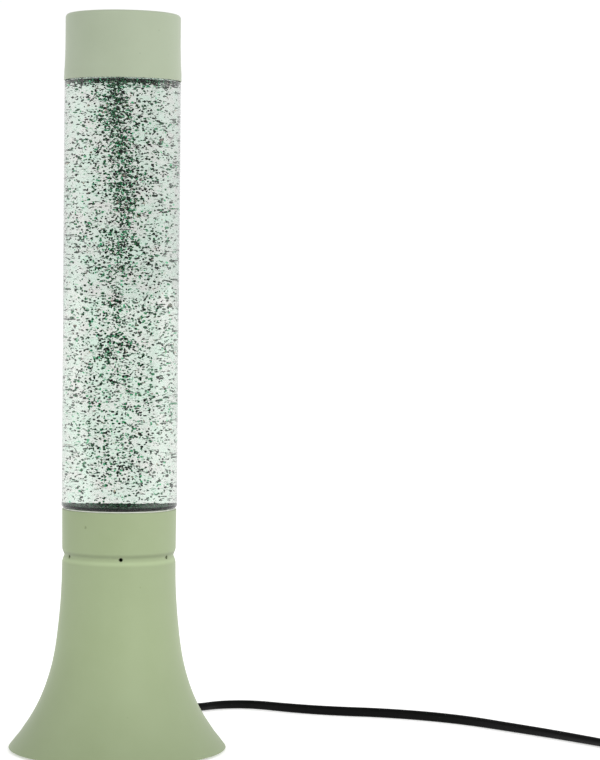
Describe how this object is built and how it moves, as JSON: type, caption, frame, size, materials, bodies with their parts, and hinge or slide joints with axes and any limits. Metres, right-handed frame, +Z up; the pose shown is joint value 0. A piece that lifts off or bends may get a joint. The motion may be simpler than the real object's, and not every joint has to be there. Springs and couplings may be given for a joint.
{
  "type": "glitter lava lamp",
  "caption": "Tall glitter lava lamp: glass cylinder of clear liquid and green glitter between a flared painted metal base and a matching lift-off cap, with corded switch and plug.",
  "frame": {"origin": "on the surface the lamp stands on, under the lamp's axis", "axes": "+Z up along the lamp's axis, -Y the front, away from the cord's exit, +X to the right seen from the front"},
  "size_m": [0.4661, 0.298, 0.4],
  "materials": {
    "sage_paint": "satin",
    "zinc_steel": "bright zinc",
    "black_rubber": "matte",
    "white_thermoset": "matte",
    "brass": "bright",
    "cord_pvc": "semi-gloss",
    "wire_pvc": "satin",
    "relief_pvc": "satin",
    "tie_wire": "satin",
    "switch_plastic": "fine texture",
    "rocker_plastic": "gloss",
    "plug_pvc": "satin",
    "nickel_brass": "nickel plated",
    "solder": "dull solder",
    "black_glass": "vitrified insulator",
    "bulb_glass": "satin, mirrored sides",
    "tungsten": "dull",
    "clear_glass": "polished",
    "white_silicone": "translucent satin",
    "clear_liquid": "clear, faint green",
    "dark_glitter": "metallic flakes, settled",
    "green_glitter": "metallic flakes",
    "closure_plastic": "ribbed",
    "foam": "closed cell"
  },
  "bodies": {
    "base": {"base_shell": "sage_paint", "bottom_plate": "zinc_steel", "rubber_feet": "black_rubber", "base_screws": "zinc_steel", "threaded_nipple": "zinc_steel", "nipple_nut": "zinc_steel", "lock_washer": "zinc_steel", "holder_base": "white_thermoset", "holder_body": "white_thermoset", "holder_thread_insert": "brass", "holder_centre_contact": "brass", "terminal_screws": "brass", "inner_cord": "cord_pvc", "inner_wires": "wire_pvc", "cord_clamp": "white_thermoset", "clamp_screws": "zinc_steel", "strain_relief": "relief_pvc", "cord_lead": "cord_pvc", "switch_bottom": "switch_plastic", "switch_top": "switch_plastic", "switch_screws": "zinc_steel", "switch_contacts": "brass", "rocker_pin": "zinc_steel", "cord_tail": "cord_pvc", "cord_coil": "cord_pvc", "coil_tie": "tie_wire", "cord_end": "cord_pvc", "plug_body": "plug_pvc", "plug_pins": "nickel_brass", "plug_pin_sleeves": "switch_plastic"},
    "bulb_tip": {"bulb_contact_tip": "solder", "bulb_insulator": "black_glass"},
    "bulb": {"bulb_screw_cap": "nickel_brass", "bulb_glass": "bulb_glass", "bulb_stem": "bulb_glass", "bulb_filament": "tungsten", "filament_supports": "tungsten"},
    "bottle": {"glass_bottle": "clear_glass", "foot_collar": "white_silicone", "liquid_fill": "clear_liquid", "glitter_sediment": "dark_glitter", "glitter_flakes": "green_glitter", "bottle_stopper": "white_silicone", "bottle_seal": "white_silicone", "bottle_closure": "closure_plastic"},
    "cap": {"top_cap": "sage_paint", "cap_pad": "foam"},
    "rocker": {"switch_rocker": "rocker_plastic"}
  },
  "joints": [
    {"name": "cap_lift", "type": "slide", "parent": "bottle", "child": "cap", "axis": [0, 0, 1], "range_m": [0, 0.05]},
    {"name": "bottle_lift", "type": "slide", "parent": "base", "child": "bottle", "axis": [0, 0, 1], "range_m": [0, 0.05]},
    {"name": "bulb_rise", "type": "slide", "parent": "base", "child": "bulb_tip", "axis": [0, 0, 1], "range_m": [0, 0.0071]},
    {"name": "bulb_turn", "type": "hinge", "parent": "bulb_tip", "child": "bulb", "pos_m": [0, 0, 0.03], "axis": [0, 0, 1], "range_deg": [0, 900]},
    {"name": "rocker_tilt", "type": "hinge", "parent": "base", "child": "rocker", "pos_m": [0.304, -0.086, 0.0106], "axis": [1, 0, 0], "range_deg": [-22, 0]}
  ],
  "couplings": [
    {"joint": "bulb_rise", "follows": "bulb_turn", "m_per_rad": 0.00044914}
  ]
}
